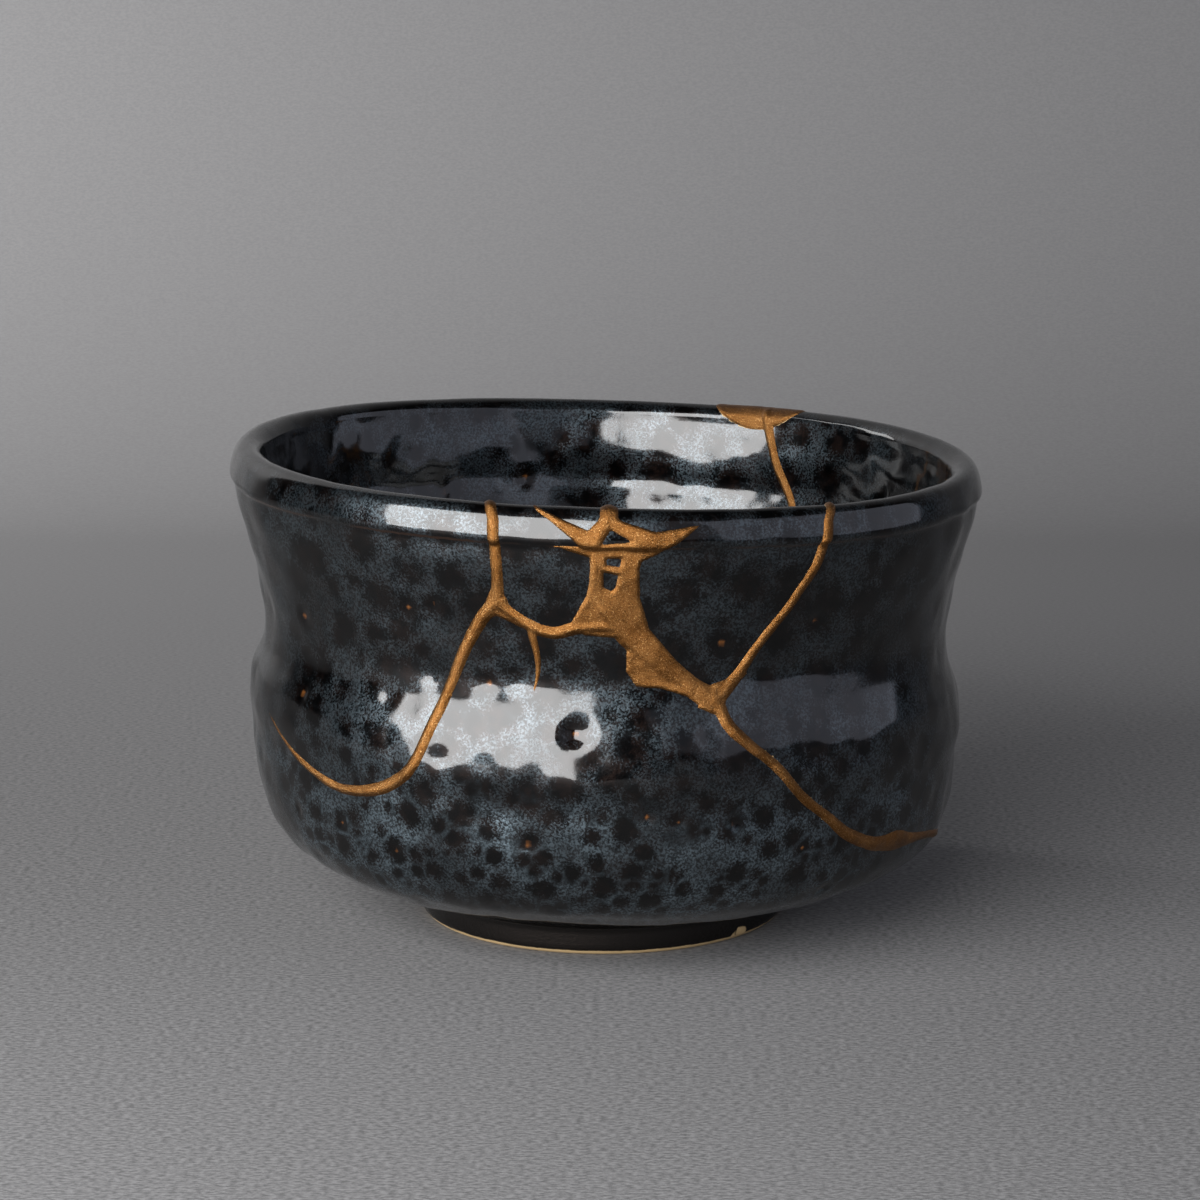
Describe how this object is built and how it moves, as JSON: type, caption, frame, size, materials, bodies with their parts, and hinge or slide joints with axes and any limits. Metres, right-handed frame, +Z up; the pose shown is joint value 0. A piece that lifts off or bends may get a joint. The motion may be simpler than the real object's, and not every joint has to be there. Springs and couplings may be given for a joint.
{
  "type": "kintsugi bowl",
  "caption": "Round footed stoneware tea bowl with a black glaze, broken and joined again with raised gold lacquer seams, a gold patch at the front and a gold-filled rim chip.",
  "frame": {"origin": "middle of the bowl's outline, on the plane that the foot ring stands on", "axes": "+Z up through the mouth, -Y out of the front with the gold patch, +X to the right seen from the front"},
  "size_m": [0.1252, 0.1259, 0.081],
  "materials": {
    "glaze": "glossy black iron glaze with a mottled blue-grey bloom",
    "gold_lacquer": "satin gold powder on lacquer"
  },
  "bodies": {
    "root": {"bowl_body": "glaze", "right_wall_shard": "glaze", "front_right_rim_shard": "glaze", "front_left_rim_shard": "glaze", "gold_lacquer_seams": "gold_lacquer"}
  },
  "joints": []
}
